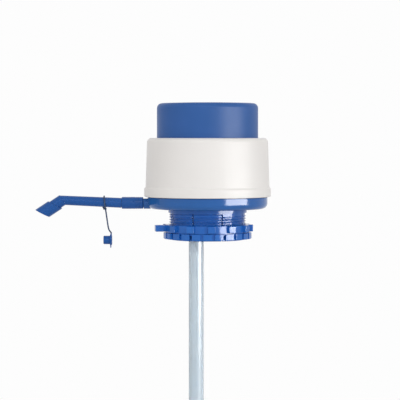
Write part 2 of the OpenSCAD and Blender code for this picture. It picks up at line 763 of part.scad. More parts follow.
module water_elbow() {
    bore_r = channel_bore / 2;
    barb = 0.4;
    barb_gap = 4;
    color(pump_blue)
        difference() {
            union() {
                translate([elbow_x, 0, 0]) {
                    translate([0, 0, nipple_z + 1])
                        cylinder(r = nipple_r - barb, h = channel_z - nipple_z - 1);
                    translate([0, 0, nipple_z]) cylinder(r1 = bore_r + 0.8, r2 = nipple_r - barb, h = 1);
                    for (i = [0 : 2]) translate([0, 0, nipple_z + 1 + i * barb_gap])
                        cylinder(r1 = nipple_r - barb, r2 = nipple_r, h = barb_gap - 1);
                    translate([0, 0, well_z - 3]) cylinder(r = nipple_r, h = floor_t + 4);
                    translate([0, 0, well_top + slip]) cylinder(r = nipple_r + seal_shoulder, h = 1.4);
                    translate([0, 0, channel_z]) sphere(r = channel_r);
                }
                x_bar(elbow_x, base_boss_x - 1, channel_r, channel_r);
                x_bar(base_boss_x - slip, spigot_x + 0.5, spigot_r, spigot_r);
                x_bar(spigot_x + 0.5, spigot_x, spigot_r, spigot_r - 0.5);
            }
            translate([elbow_x, 0, nipple_z - e]) cylinder(r = bore_r, h = channel_z - nipple_z + e);
            translate([elbow_x, 0, channel_z]) sphere(r = bore_r);
            x_bar(elbow_x, base_boss_x + 4, bore_r, bore_r);
            x_bar(base_boss_x + 5, spigot_x - e, spigot_bore / 2, spigot_bore / 2);
            difference() {
                x_bar(groove_x, groove_x - groove_w, spigot_r + e, spigot_r + e);
                x_bar(groove_x + e, groove_x - groove_w - e, groove_r, groove_r);
            }
        }
}

module spout_o_ring() {
    color(rubber_black)
        translate([groove_x - groove_w / 2, 0, channel_z]) rotate([0, 90, 0])
            o_ring(groove_r + 0.02 + spout_seal_d / 2, spout_seal_d);
}

module neck_gasket() {
    color(rubber_black) ring(gasket_bore_r, gasket_r, 0, gasket_t);
}

module clamp_collet() {
    hook_top = floor_z + hook_lift + hook_h;
    color(pump_blue) {
        difference() {
            rotate_extrude() polygon([[jaw_bore_r + 0.6, -jaw_len], [jaw_root_r - 0.5, -jaw_len],
                [jaw_root_r, 0.5 - jaw_len], [jaw_root_r, thread_top], [collet_band_r, thread_top + 0.4],
                [collet_band_r, collet_flange_z], [collet_flange_r, collet_flange_z],
                [collet_flange_r, under_z], [jaw_bore_r, under_z], [jaw_bore_r, 0.6 - jaw_len]]);
            round_array(jaw_count, 180 / jaw_count)
                translate([jaw_bore_r - 2, -slot_w / 2, -jaw_len - e])
                    cube([jaw_wall + 6, slot_w, jaw_len + e + 0.5]);
        }
        round_array(hook_count, 45 - hook_angle / 2)
            rotate_extrude(angle = hook_angle) polygon([[hook_r, under_z - e],
                [hook_r + hook_wall, under_z - e], [hook_r + hook_wall, floor_z + hook_lift],
                [hook_r + hook_wall + hook_over, floor_z + hook_lift],
                [hook_r + hook_wall, hook_top], [hook_r, hook_top]]);
    }
}

module pressure_ring() {
    top_z = ring_z + ring_h;
    tooth_r = nut_r + tooth_reach;
    bead_mid = top_z + hub_h / 2 + 0.2;
    color(pump_blue)
        difference() {
            union() {
                difference() {
                    union() {
                        translate([0, 0, ring_z]) cylinder(r = tooth_r, h = ring_h);
                        rotate_extrude() polygon([[jaw_root_r, top_z - e], [hub_r, top_z - e],
                            [hub_r, bead_mid - hub_bead_h / 2], [hub_r + hub_bead, bead_mid],
                            [hub_r, bead_mid + hub_bead_h / 2], [hub_r, top_z + hub_h],
                            [jaw_root_r, top_z + hub_h]]);
                    }
                    translate([0, 0, ring_z - e]) cylinder(r = nut_bore_r + run, h = ring_h + hub_h + 2 * e);
                    round_array(tooth_count, 180 / tooth_count)
                        translate([nut_r, -tooth_gap / 2, ring_z - e])
                            cube([tooth_reach + 2, tooth_gap, ring_h + 2 * e]);
                    round_array(jaw_count, 180 / jaw_count)
                        translate([nut_bore_r - e, -tooth_gap / 2, ring_z - e])
                            cube([nut_wall + 4, tooth_gap, ring_h - 0.4]);
                }
                round_array(jaw_count, 180 / jaw_count)
                    translate([jaw_bore_r + 0.5, -key_w / 2, ring_z + 0.6])
                        cube([nut_bore_r - jaw_bore_r + 0.4, key_w, ring_h + hub_h - 0.6]);
            }
            ring(tooth_r - 0.3, tooth_r + 2, ring_z - e, ring_z + 0.3);
        }
}

module clamp_nut() {
    pocket_top = ring_z + ring_h + hub_h + slip;
    bead_mid = ring_z + ring_h + hub_h / 2 + 0.2;
    lug_drop = 0.2;
    tab_index = round(lug_count * 0.23);
    tab_first = lug_turn - 90 - tab_index * 360 / lug_count;
    color(pump_blue)
        difference() {
            union() {
                translate([0, 0, nut_z]) cylinder(r = nut_r, h = nut_h);
                for (i = [0 : lug_count - 1]) {
                    reach = i == 0 ? tab_reach : lug_reach;
                    tall = i == 0 ? tab_h : lug_h;
                    rotate(tab_first + 360 * i / lug_count)
                        intersection() {
                            translate([nut_r - 2, -lug_w / 2, nut_top - lug_drop - tall])
                                cube([reach + 2, lug_w, tall]);
                            translate([0, 0, nut_z - e]) cylinder(r = nut_r + reach, h = nut_h + 2 * e);
                        }
                }
            }
            translate([0, 0, nut_z - e]) cylinder(r = nut_bore_r, h = nut_h + 2 * e);
            rotate_extrude() polygon([[nut_bore_r - e, nut_z - e], [hub_r + slip, nut_z - e],
                [hub_r + slip, bead_mid - hub_bead_h / 2 - slip],
                [hub_r + hub_bead + slip, bead_mid], [hub_r + slip, bead_mid + hub_bead_h / 2 + slip],
                [hub_r + slip, pocket_top], [nut_bore_r - e, pocket_top]]);
            translate([0, 0, nut_z + nut_h - 0.6])
                cylinder(r1 = nut_bore_r - 0.1, r2 = nut_bore_r + 0.6, h = 0.7);
        }
}

module dip_tube(z0, z1) {
    color(milk_clear) ring(dip_bore_r, dip_r, z0, z1);
}

module dip_tube_upper() {
    dip_place() dip_tube(joint_z, dip_top_z);
}

module dip_tube_lower() {
    dip_place() dip_tube(lower_end_z, lower_top_z);
}

module dip_place() {
    translate([elbow_x, 0, 0]) children();
}

module tube_joiner() {
    mid_z = (joint_z + lower_top_z) / 2;
    chamfer = 0.8;
    color(pump_blue) dip_place() {
        rotate_extrude() polygon([[sleeve_fit_r, mid_z - joiner_len / 2],
            [joiner_r - chamfer, mid_z - joiner_len / 2], [joiner_r, mid_z - joiner_len / 2 + chamfer],
            [joiner_r, mid_z + joiner_len / 2 - chamfer], [joiner_r - chamfer, mid_z + joiner_len / 2],
            [sleeve_fit_r, mid_z + joiner_len / 2], [sleeve_fit_r, joint_z - slip],
            [dip_bore_r, joint_z - slip], [dip_bore_r, lower_top_z + slip],
            [sleeve_fit_r, lower_top_z + slip]]);
        round_array(8) translate([joiner_r - 0.3, -0.6, mid_z - joiner_len / 2 + 3])
            cube([0.9, 1.2, joiner_len - 6]);
    }
}

module tube_foot() {
    color(pump_blue) dip_place()
        difference() {
            union() {
                ring(sleeve_fit_r, joiner_r, lower_end_z - slip, foot_z + foot_len);
                ring(dip_bore_r, joiner_r, foot_z, lower_end_z - slip);
                ring(joiner_r - e, joiner_r + 0.8, foot_z + foot_len - 2, foot_z + foot_len);
            }
            round_array(prong_count)
                translate([0, -2.2, foot_z - e]) cube([joiner_r + 2, 4.4, prong_len - 2 + e]);
        }
}

module spout_coupling() {
    chamfer = 0.6;
    groove = 0.2;
    groove_pitch = 1.5;
    pip_x = sleeve_x - sleeve_len * 0.47;
    color(pump_blue)
        difference() {
            union() {
                x_bar(sleeve_x, sleeve_x - chamfer, sleeve_r - chamfer, sleeve_r);
                x_bar(sleeve_x - chamfer, sleeve_end_x + chamfer, sleeve_r, sleeve_r);
                x_bar(sleeve_end_x + chamfer, sleeve_end_x, sleeve_r, sleeve_r - chamfer / 2);
                translate([pip_x, 0, channel_z]) rotate([67, 0, 0])
                    translate([0, 0, sleeve_r - 1]) cylinder(r1 = 1, r2 = 0.6, h = 1.4, $fn = 24);
            }
            x_bar(sleeve_x + e, sleeve_end_x - e, sleeve_bore_r, sleeve_bore_r);
            for (i = [1 : 4]) translate([-i * groove_pitch, 0, 0])
                difference() {
                    x_bar(sleeve_x, sleeve_x - 0.4, sleeve_r + e, sleeve_r + e);
                    x_bar(sleeve_x + e, sleeve_x - 0.4 - e, sleeve_r - groove, sleeve_r - groove);
                }
        }
}

// Puts its children on the tube's tilted axis, with +Z pointing out along the tube
module on_tube() {
    translate([tube_root_x, 0, channel_z]) rotate([0, tube_tilt - 90, 0]) children();
}

// Puts its children at the tube's corner, with +Z pointing out along the nozzle
module on_nozzle() {
    on_tube() translate([0, 0, tube_len]) rotate([0, -turn, 0]) children();
}

// The tube is cut square to the leg, which laps it by a hair
module spout_tube() {
    past = tube_end_d / 2 * tan(turn) + 0.5;
    color(pump_blue)
        difference() {
            union() {
                difference() {
                    on_tube() cylinder(d1 = tube_root_d, d2 = tube_end_d, h = tube_len + past);
                    on_nozzle() translate([-20, -20, 0]) cube([40, 40, 20]);
                }
                on_nozzle() translate([0, 0, -0.3]) cylinder(r = leg_r, h = leg_len + 0.3);
                x_bar(stub_end_x, tube_root_x - 0.6, spigot_r, spigot_r);
            }
            on_tube() cylinder(d = tube_bore, h = tube_len + 2.6);
            on_nozzle() translate([0, 0, 1.5]) cylinder(d = leg_bore, h = leg_len);
            x_bar(stub_end_x + e, tube_root_x - 0.4, spigot_bore / 2, spigot_bore / 2);
        }
}

module nozzle() {
    thick = nozzle_len * cos(slant);
    reach = nozzle_start + nozzle_len + 2 * nozzle_r;
    color(pump_blue) on_nozzle()
        difference() {
            intersection() {
                cylinder(r = nozzle_r, h = reach);
                translate([0, 0, nozzle_start]) rotate([0, -slant, 0])
                    translate([-20, -20, 0]) cube([40, 40, thick]);
            }
            translate([0, 0, -nozzle_r]) cylinder(r = nozzle_bore_r, h = nozzle_step + nozzle_r);
            cylinder(r = mouth_d / 2, h = reach);
        }
}

module spout_plug() {
    wall = 1;
    color(pump_blue) {
        difference() {
            translate([plug_tip_x, 0, plug_z]) rotate([0, 90, 0]) {
                cylinder(r1 = plug_r - 0.3, r2 = plug_r, h = 0.5, $fn = 48);
                translate([0, 0, 0.5]) cylinder(r = plug_r, h = plug_len - 0.5, $fn = 48);
                translate([0, 0, plug_len]) cylinder(r = plug_flange_r, h = plug_flange_t - 0.4, $fn = 48);
                translate([0, 0, plug_len + plug_flange_t - 0.4])
                    cylinder(r1 = plug_flange_r, r2 = plug_flange_r - 0.8, h = 0.4, $fn = 48);
            }
            translate([plug_tip_x - e, 0, plug_z]) rotate([0, 90, 0])
                cylinder(r = plug_r - wall, h = plug_len + e - 0.6, $fn = 48);
        }
        translate([lug_x, 0, lug_top_z - 1.6]) cylinder(r = tether_d / 2, h = 1.6, $fn = 24);
        translate([plug_flange_x + 0.2, -1.2, plug_z - plug_flange_r - 1.85])
            cube([0.8, 2.4, 2.6]);
    }
}

module cap_tether() {
    echo(str("Least gap of the tether to itself: ", self_gap(tether_path, tether_d / 2, 8)));
    color(pump_blue) swept_tube(tether_path, tether_d / 2, 8, [1, 0, 0.05]);
}

module bead_between(a, b, ra, rb) {
    hull() {
        translate(a) sphere(r = ra, $fn = 16);
        translate(b) sphere(r = rb, $fn = 16);
    }
}

module tether_knot() {
    color(pump_blue) {
        bead_between(knot_at, knot_start, 1, 0.9);
        bead_between(knot_start, tail_end, 0.6, 0.5);
    }
}

push_button();
collar();
bellows();
return_spring();
bellows_ring();
ring_screws();
valve_plate();
inlet_disc();
inlet_cage();
outlet_disc();
outlet_cage();
base_dish();
water_elbow();
floor_seals();
neck_gasket();
clamp_collet();
pressure_ring();
clamp_nut();
dip_tube_upper();
tube_joiner();
dip_tube_lower();
tube_foot();
spout_o_ring();
spout_coupling();
spout_tube();
nozzle();
spout_plug();
cap_tether();
tether_knot();
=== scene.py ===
"""Dresses the hand pump for a large water bottle.

It makes the camera, the light, the finishes and the fine pieces. Lengths are in metres unless a
class says millimetres, and in the part's own frame: +Z is up, the spout points along -X, and the
origin is the centre of the gasket's lower face. The solids keep their places, and the new pieces
ride on the same bodies.
"""

import logging
import math
from abc import ABC, abstractmethod
from dataclasses import dataclass
from enum import Enum

import bmesh
import bpy
from mathutils import Matrix, Vector


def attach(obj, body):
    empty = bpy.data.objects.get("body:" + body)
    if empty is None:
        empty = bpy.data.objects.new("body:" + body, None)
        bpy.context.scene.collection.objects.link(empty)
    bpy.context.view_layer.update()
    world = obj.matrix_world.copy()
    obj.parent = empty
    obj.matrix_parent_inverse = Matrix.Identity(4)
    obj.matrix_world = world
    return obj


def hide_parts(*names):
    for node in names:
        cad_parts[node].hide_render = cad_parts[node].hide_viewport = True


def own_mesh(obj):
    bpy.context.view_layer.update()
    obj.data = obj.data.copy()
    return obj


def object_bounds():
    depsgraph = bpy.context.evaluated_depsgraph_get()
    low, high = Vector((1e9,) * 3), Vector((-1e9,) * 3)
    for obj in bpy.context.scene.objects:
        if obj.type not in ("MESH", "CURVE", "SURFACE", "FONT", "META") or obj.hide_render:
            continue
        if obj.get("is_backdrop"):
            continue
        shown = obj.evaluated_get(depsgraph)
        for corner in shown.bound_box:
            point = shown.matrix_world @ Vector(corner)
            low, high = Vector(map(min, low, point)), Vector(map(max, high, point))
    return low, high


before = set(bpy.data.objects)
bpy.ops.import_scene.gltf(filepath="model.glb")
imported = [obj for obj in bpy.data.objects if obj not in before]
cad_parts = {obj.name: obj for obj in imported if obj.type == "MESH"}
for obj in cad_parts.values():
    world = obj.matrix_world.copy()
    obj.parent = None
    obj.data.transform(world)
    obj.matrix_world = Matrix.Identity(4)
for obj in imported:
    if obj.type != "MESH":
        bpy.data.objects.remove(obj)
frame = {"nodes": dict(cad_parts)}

MM = 0.001
# The angle of the photographed side, counted from +X, in degrees
FRONT = -90.0
# Corners that lie closer than this are one corner
WELD = 0.001 * MM
# The same in a solid's copy, where shorter edges would spoil the rounding
COPY_WELD = 0.02 * MM
# Faces that meet at less than this angle are one flat face, in degrees
FLAT_ANGLE = 0.5
# Edges at which two faces turn by more than this angle are sharp, in degrees
SHARP_ANGLE = 32.0
# Steps across a rounded edge of a moulded piece
EDGE_STEPS = 2
# How much a large face counts when the normals are evened out
NORMAL_WEIGHT = 80
# The screen's tone curve, which is straight up to the knee
SCREEN_KNEE = 0.04045
SCREEN_SLOPE = 12.92
SCREEN_OFFSET = 0.055
SCREEN_GAMMA = 2.4
Colour = tuple[float, float, float, float]
Point = tuple[float, float, float]
log = logging.getLogger("pump")


class Body(Enum):
    """The bodies that pieces ride on."""

    BASE = "base"
    BUTTON = "button"
    PRESSURE_RING = "pressure_ring"
    NUT = "nut"
    SPOUT = "spout"
    CAP = "cap"


class Slot(Enum):
    """The names of the material slots that the new pieces are listed with."""

    CAP_BLUE = "cap_blue"
    SHELL_WHITE = "shell_white"
    PUMP_BLUE = "pump_blue"
    RUBBER = "rubber_black"
    STEEL = "steel"


class Reach(Enum):
    """What a lamp's light shows in: the surface's own colour, its sheen, or both."""

    BOTH = "both"
    COLOUR = "colour"
    SHEEN = "sheen"


def linear(code: str) -> Colour:
    """Turns a screen colour into scene values.

    Args:
        code: Six hexadecimal digits, red first.

    Returns:
        The colour in linear light, with full opacity.
    """
    parts = [int(code[i:i + 2], 16) / 255 for i in (0, 2, 4)]
    red, green, blue = [p / SCREEN_SLOPE if p <= SCREEN_KNEE
                        else ((p + SCREEN_OFFSET) / (1 + SCREEN_OFFSET)) ** SCREEN_GAMMA
                        for p in parts]
    return (red, green, blue, 1.0)


class NodeBoard:
    """Adds shader nodes to a tree and joins them."""

    NOISE_ROUGHNESS: float = 0.55
    # The noise seldom leaves this range
    NOISE_LOW: float = 0.3
    NOISE_HIGH: float = 0.7
    # The mix node's sockets when it mixes colours
    MIX_FACTOR: int = 0
    MIX_ONE: int = 6
    MIX_TWO: int = 7
    MIX_RESULT: int = 2

    def __init__(self, tree: bpy.types.NodeTree) -> None:
        """Clears the tree and keeps it.

        Args:
            tree: The node tree to fill.
        """
        self.tree = tree
        tree.nodes.clear()

    def add(self, kind: str, **inputs: object) -> bpy.types.Node:
        """Adds a node.

        Args:
            kind: The node's type name.
            **inputs: Socket values, with underscores for the spaces in their names.

        Returns:
            The new node.
        """
        node = self.tree.nodes.new(kind)
        for name, value in inputs.items():
            node.inputs[name.replace("_", " ")].default_value = value
        return node

    def join(self, start: bpy.types.NodeSocket, end: bpy.types.NodeSocket) -> None:
        """Links one socket to another."""
        self.tree.links.new(start, end)

    def noise(self, scale: float, detail: float) -> bpy.types.NodeSocket:
        """Adds noise on the object's own coordinates.

        Args:
            scale: Waves to a metre.
            detail: How many finer layers are laid over it.

        Returns:
            The noise value's socket.
        """
        place = self.add("ShaderNodeTexCoord")
        cloud = self.add("ShaderNodeTexNoise", Scale=scale, Detail=detail,
                         Roughness=self.NOISE_ROUGHNESS)
        self.join(place.outputs["Object"], cloud.inputs["Vector"])
        return cloud.outputs["Fac"]

    def spread(self, value: bpy.types.NodeSocket, low: float, high: float) -> bpy.types.NodeSocket:
        """Maps a noise value on to a range.

        Args:
            value: The socket to map.
            low: The result at the noise's low end.
            high: The result at its high end.

        Returns:
            The mapped value's socket.
        """
        ramp = self.add("ShaderNodeMapRange", From_Min=self.NOISE_LOW, From_Max=self.NOISE_HIGH,
                        To_Min=low, To_Max=high)
        self.join(value, ramp.inputs["Value"])
        return ramp.outputs["Result"]

    def tint(self, value: bpy.types.NodeSocket, one: Colour, two: Colour) -> bpy.types.NodeSocket:
        """Blends two colours by a value.

        Args:
            value: The blend's socket.
            one: The colour at the low end.
            two: The colour at the high end.

        Returns:
            The blended colour's socket.
        """
        blend = self.tree.nodes.new("ShaderNodeMix")
        blend.data_type = "RGBA"
        blend.inputs[self.MIX_ONE].default_value = one
        blend.inputs[self.MIX_TWO].default_value = two
        self.join(value, blend.inputs[self.MIX_FACTOR])
        return blend.outputs[self.MIX_RESULT]

    def relief(self, value: bpy.types.NodeSocket, depth: float,
               strength: float) -> bpy.types.NodeSocket:
        """Turns a value into a bumped normal.

        Args:
            value: The height's socket.
            depth: The relief's depth in metres.
            strength: The relief's strength, up to 1.

        Returns:
            The normal's socket.
        """
        bump = self.add("ShaderNodeBump", Distance=depth, Strength=strength)
        self.join(value, bump.inputs["Height"])
        return bump.outputs["Normal"]

    def reckon(self, operation: str, one: bpy.types.NodeSocket,
               two: bpy.types.NodeSocket) -> bpy.types.NodeSocket:
        """Works out one value from two.

        Args:
            operation: The operation's type name.
            one: The first value's socket.
            two: The second value's socket.

        Returns:
            The result's socket.
        """
        node = self.tree.nodes.new("ShaderNodeMath")
        node.operation = operation
        self.join(one, node.inputs[0])
        self.join(two, node.inputs[1])
        return node.outputs[0]

    def mixed(self, share: bpy.types.NodeSocket, one: bpy.types.Node,
              two: bpy.types.Node) -> bpy.types.NodeSocket:
        """Mixes two shaders.

        Args:
            share: The socket that says how much of the second one shows.
            one: The first shader.
            two: The second shader.

        Returns:
            The mixed shader's socket.
        """
        mix = self.add("ShaderNodeMixShader")
        for start, end in zip((share, one.outputs[0], two.outputs[0]), mix.inputs):
            self.join(start, end)
        return mix.outputs[0]


@dataclass(frozen=True)
class Finish:
    """A surface finish with a mottled colour, an uneven gloss and a fine relief."""

    name: str
    tone: str
    second_tone: str
    roughness: float
    roughness_spread: float = 0.04
    metallic: float = 0.0
    specular: float = 0.5
    transmission: float = 0.0
    mottle_scale: float = 38.0
    mottle_detail: float = 3.0
    gloss_ratio: float = 3.0
    gloss_detail: float = 4.0
    grain_scale: float = 1500.0
    grain_detail: float = 2.0
    grain_depth: float = 0.02 * MM
    grain_strength: float = 0.25

    def build(self) -> bpy.types.Material:
        """Makes the material.

        Returns:
            A material that reads the object's own coordinates.
        """
        material = bpy.data.materials.new(self.name)
        material.use_nodes = True
        board = NodeBoard(material.node_tree)
        out = board.add("ShaderNodeOutputMaterial")
        skin = board.add("ShaderNodeBsdfPrincipled", Metallic=self.metallic,
                         Specular_IOR_Level=self.specular, Transmission_Weight=self.transmission)
        mottle = board.noise(self.mottle_scale, self.mottle_detail)
        base = board.tint(board.spread(mottle, 0.0, 1.0), linear(self.tone),
                          linear(self.second_tone))
        board.join(base, skin.inputs["Base Color"])
        patches = board.noise(self.mottle_scale * self.gloss_ratio, self.gloss_detail)
        gloss = board.spread(patches, self.roughness - self.roughness_spread,
                             self.roughness + self.roughness_spread)
        board.join(gloss, skin.inputs["Roughness"])
        self.add_relief(board, skin)
        board.join(skin.outputs["BSDF"], out.inputs["Surface"])
        return material

    def add_relief(self, board: NodeBoard, skin: bpy.types.Node) -> None:
        """Gives the surface its fine relief.

        Args:
            board: The material's nodes.
            skin: The surface shader.
        """
        grain = board.noise(self.grain_scale, self.grain_detail)
        board.join(board.relief(grain, self.grain_depth, self.grain_strength),
                   skin.inputs["Normal"])


@dataclass(frozen=True)
class DrawnWire(Finish):
    """Bright wire with fine lines of the drawing die."""

    line_scale: float = 900.0
    line_waver: float = 6.0
    line_detail: float = 3.0

    def add_relief(self, board: NodeBoard, skin: bpy.types.Node) -> None:
        """Lays fine bands of scratches over the wire.

        Args:
            board: The material's nodes.
            skin: The surface shader.
        """
        place = board.add("ShaderNodeTexCoord")
        lines = board.add("ShaderNodeTexWave", Scale=self.line_scale, Distortion=self.line_waver,
                          Detail=self.line_detail)
        lines.bands_direction = "Z"
        board.join(place.outputs["Object"], lines.inputs["Vector"])
        board.join(board.relief(lines.outputs["Fac"], self.grain_depth, self.grain_strength),
                   skin.inputs["Normal"])


PUMP_BLUE = Finish("pump_blue_gloss", "225da3", "2762ac", 0.13, 0.02, specular=0.3,
                   mottle_scale=30.0)
CLAMP_BLUE = Finish("clamp_blue_gloss", "2164ba", "276dc4", 0.15, 0.03, specular=0.3,
                    mottle_scale=60.0)
SPOUT_BLUE = Finish("spout_blue_gloss", "164f97", "1c57a2", 0.2, 0.03, specular=0.25,
                    mottle_scale=50.0)
CAP_BLUE = Finish("cap_blue_satin", "325d9d", "3660a3", 0.42, 0.03, specular=0.15,
                  mottle_scale=26.0, grain_strength=0.3)
SHELL_WHITE = Finish("shell_white_gloss", "e9e8e7", "eeedec", 0.4, 0.03, specular=0.2,
                     mottle_scale=18.0, grain_strength=0.12)
RUBBER = Finish("rubber_matt", "1b1b1d", "232326", 0.72, 0.06, specular=0.3,
                mottle_scale=70.0, grain_strength=0.5)
VALVE_WHITE = Finish("valve_white_satin", "d9dee3", "e4e8ec", 0.42, 0.04, mottle_scale=60.0)
MILK_CLEAR = Finish("milk_clear_tube", "dbe8f1", "e8f1f7", 0.24, 0.03, transmission=0.55,
                    mottle_scale=50.0, grain_strength=0.1)
CORD_BLUE = Finish("cord_dark_blue", "1c3558", "274468", 0.5, 0.05, mottle_scale=240.0,
                   grain_scale=2600.0, grain_strength=0.5)
BRIGHT_WIRE = DrawnWire("bright_wire", "b4b6ba", "c2c4c8", 0.22, 0.03, metallic=1.0,
                        mottle_scale=160.0)


class Workbench:
    """Makes finished pieces, and dresses the solids."""

    def __init__(self, solids: dict[str, bpy.types.Object]) -> None:
        """Keeps the solids and an empty rack of materials.

        Args:
            solids: The solids by name.
        """
        self.solids = solids
        self.rack: dict[str, bpy.types.Material] = {}

    def material(self, finish: Finish) -> bpy.types.Material:
        """Returns the finish's material, made once."""
        if finish.name not in self.rack:
            self.rack[finish.name] = finish.build()
        return self.rack[finish.name]

    def paint(self, piece: bpy.types.Object, finish: Finish) -> None:
        """Gives a piece one finish all over.

        Args:
            piece: The piece or solid.
            finish: Its finish.
        """
        piece.data.materials.clear()
        piece.data.materials.append(self.material(finish))

    def dress(self, names: list[str], finish: Finish) -> None:
        """Gives solids that stay as they are their finish.

        Args:
            names: The solids' names.
            finish: Their finish.
        """
        for name in names:
            self.paint(self.solids[name], finish)
            log.info("dressed %s", name)

    def place(self, piece: bpy.types.Object, finish: Finish, body: Body, slot: Slot,
              stands_for: tuple[str, ...] = ()) -> bpy.types.Object:
        """Finishes a piece and puts it on its body.

        Args:
            piece: The new piece, already in place.
            finish: Its finish.
            body: The body that it rides on.
            slot: Not used.
            stands_for: The solids that it replaces.

        Returns:
            The piece.
        """
        bpy.context.scene.collection.objects.link(piece)
        self.paint(piece, finish)
        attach(piece, body.value)
        if stands_for:
            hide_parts(*stands_for)
        log.info("made %s", piece.name)
        return piece

    def close(self, name: str, shape: bmesh.types.BMesh) -> bpy.types.Object:
        """Turns a finished shape into an object with smooth shading.

        Args:
            name: The piece's name.
            shape: The shape, which is freed.

        Returns:
            The object, not yet in the scene.
        """
        mesh = bpy.data.meshes.new(name)
        shape.to_mesh(mesh)
        shape.free()
        mesh.shade_smooth()
        piece = bpy.data.objects.new(name, mesh)
        even = piece.modifiers.new("even_normals", "WEIGHTED_NORMAL")
        even.weight = NORMAL_WEIGHT
        return piece

    def soften(self, node: str, radius: float, finish: Finish, body: Body,
               slot: Slot) -> bpy.types.Object:
        """Makes a moulded copy of a solid, with its sharp edges rounded.

        Args:
            node: The solid's name.
            radius: The rounding's width.
            finish: The piece's finish.
            body: The body that it rides on.
            slot: The material slot, which is handed on to place.

        Returns:
            The piece, which stands for the solid.
        """
        shape = bmesh.new()
        shape.from_mesh(self.solids[node].data)
        bmesh.ops.remove_doubles(shape, verts=shape.verts[:], dist=COPY_WELD)
        bmesh.ops.dissolve_limit(shape, angle_limit=math.radians(FLAT_ANGLE),
                                 verts=shape.verts[:], edges=shape.edges[:])
        round_edges(shape, radius)
        return self.place(self.close(f"{node}_moulded", shape), finish, body, slot, (node,))


def round_edges(shape: bmesh.types.BMesh, radius: float, segments: int = EDGE_STEPS,
                angle: float = SHARP_ANGLE) -> None:
    """Rounds a shape's sharp edges.

    Args:
        shape: The shape to change.
        radius: The rounding's width.
        segments: The steps across the rounding.
        angle: The least angle between two faces, in degrees, at which their edge counts as sharp.
    """
    limit = math.radians(angle)
    sharp = [e for e in shape.edges if len(e.link_faces) == 2 and e.calc_face_angle() > limit]
    bmesh.ops.bevel(shape, geom=sharp, offset=radius, offset_type="OFFSET", segments=segments,
                    profile=0.5, affect="EDGES", clamp_overlap=True, material=-1)


def turned(profile: list[tuple[float, float]], steps: int) -> bmesh.types.BMesh:
    """Turns a closed outline round the Z axis.

    Args:
        profile: The outline's corners as radius and height.
        steps: The steps of a full turn.

    Returns:
        The closed ring.
    """
    shape = bmesh.new()
    corners = [shape.verts.new((r, 0.0, z)) for r, z in profile]
    rim = [shape.edges.new((corners[i - 1], corners[i])) for i in range(len(corners))]
    bmesh.ops.spin(shape, geom=corners + rim, cent=(0, 0, 0), axis=(0, 0, 1), dvec=(0, 0, 0),
                   angle=math.tau, steps=steps, use_merge=True)
    bmesh.ops.remove_doubles(shape, verts=shape.verts[:], dist=WELD)
    bmesh.ops.recalc_face_normals(shape, faces=shape.faces[:])
    return shape


def polar(radius: float, angle: float, height: float) -> Vector:
    """Returns the point at a radius, an angle in degrees from +X, and a height."""
    turn = math.radians(angle)
    return Vector((radius * math.cos(turn), radius * math.sin(turn), height))


@dataclass
class SubAssembly(ABC):
    """A group of the pump's pieces that are made and dressed together."""

    bench: Workbench

    @abstractmethod
    def build(self) -> None:
        """Makes the new pieces and dresses the solids that stay."""


@dataclass
class StudioCamera:
    """The camera, level with the collar's upper edge and looking a little down.

    One pixel of the picture covers the length pixel at the point that the camera aims at.
    """

    pixel: float = 0.8 * MM
    picture: int = 400
    distance: float = 1.4
    height: float = 0.062
    aim: Point = (-0.006, 0.0, 0.0108)
    sensor: float = 36.0
    sight_end: float = 40.0

    def build(self) -> None:
        """Makes the scene's camera."""
        data = bpy.data.cameras.new("camera")
        camera = bpy.data.objects.new("camera", data)
        bpy.context.scene.collection.objects.link(camera)
        camera.location = (self.aim[0], -self.distance, self.height)
        sight = Vector(self.aim) - camera.location
        camera.rotation_euler = sight.to_track_quat("-Z", "Y").to_euler()
        data.sensor_width = self.sensor
        data.lens = data.sensor_width * sight.length / (self.pixel * self.picture)
        data.clip_end = self.sight_end
        bpy.context.scene.camera = camera
        log.info("placed the camera")


@dataclass
class Lamp:
    """One soft lamp that faces the pump. Its azimuth goes from the front towards +X."""

    name: str
    azimuth: float
    elevation: float
    distance: float
    width: float
    tall: float
    power: float
    reach: Reach = Reach.BOTH
    aim: Point = (0.0, 0.0, 0.03)

    def build(self) -> None:
        """Makes the lamp."""
        data = bpy.data.lights.new(self.name, "AREA")
        data.shape = "RECTANGLE"
        data.size = self.width
        data.size_y = self.tall
        data.energy = self.power
        lamp = bpy.data.objects.new(self.name, data)
        bpy.context.scene.collection.objects.link(lamp)
        rise = math.radians(self.elevation)
        lamp.location = polar(self.distance * math.cos(rise), self.azimuth + FRONT,
                              self.distance * math.sin(rise))
        sight = Vector(self.aim) - lamp.location
        lamp.rotation_euler = sight.to_track_quat("-Z", "Y").to_euler()
        lamp.visible_camera = False
        lamp.visible_diffuse = self.reach is not Reach.SHEEN
        lamp.visible_glossy = self.reach is not Reach.COLOUR


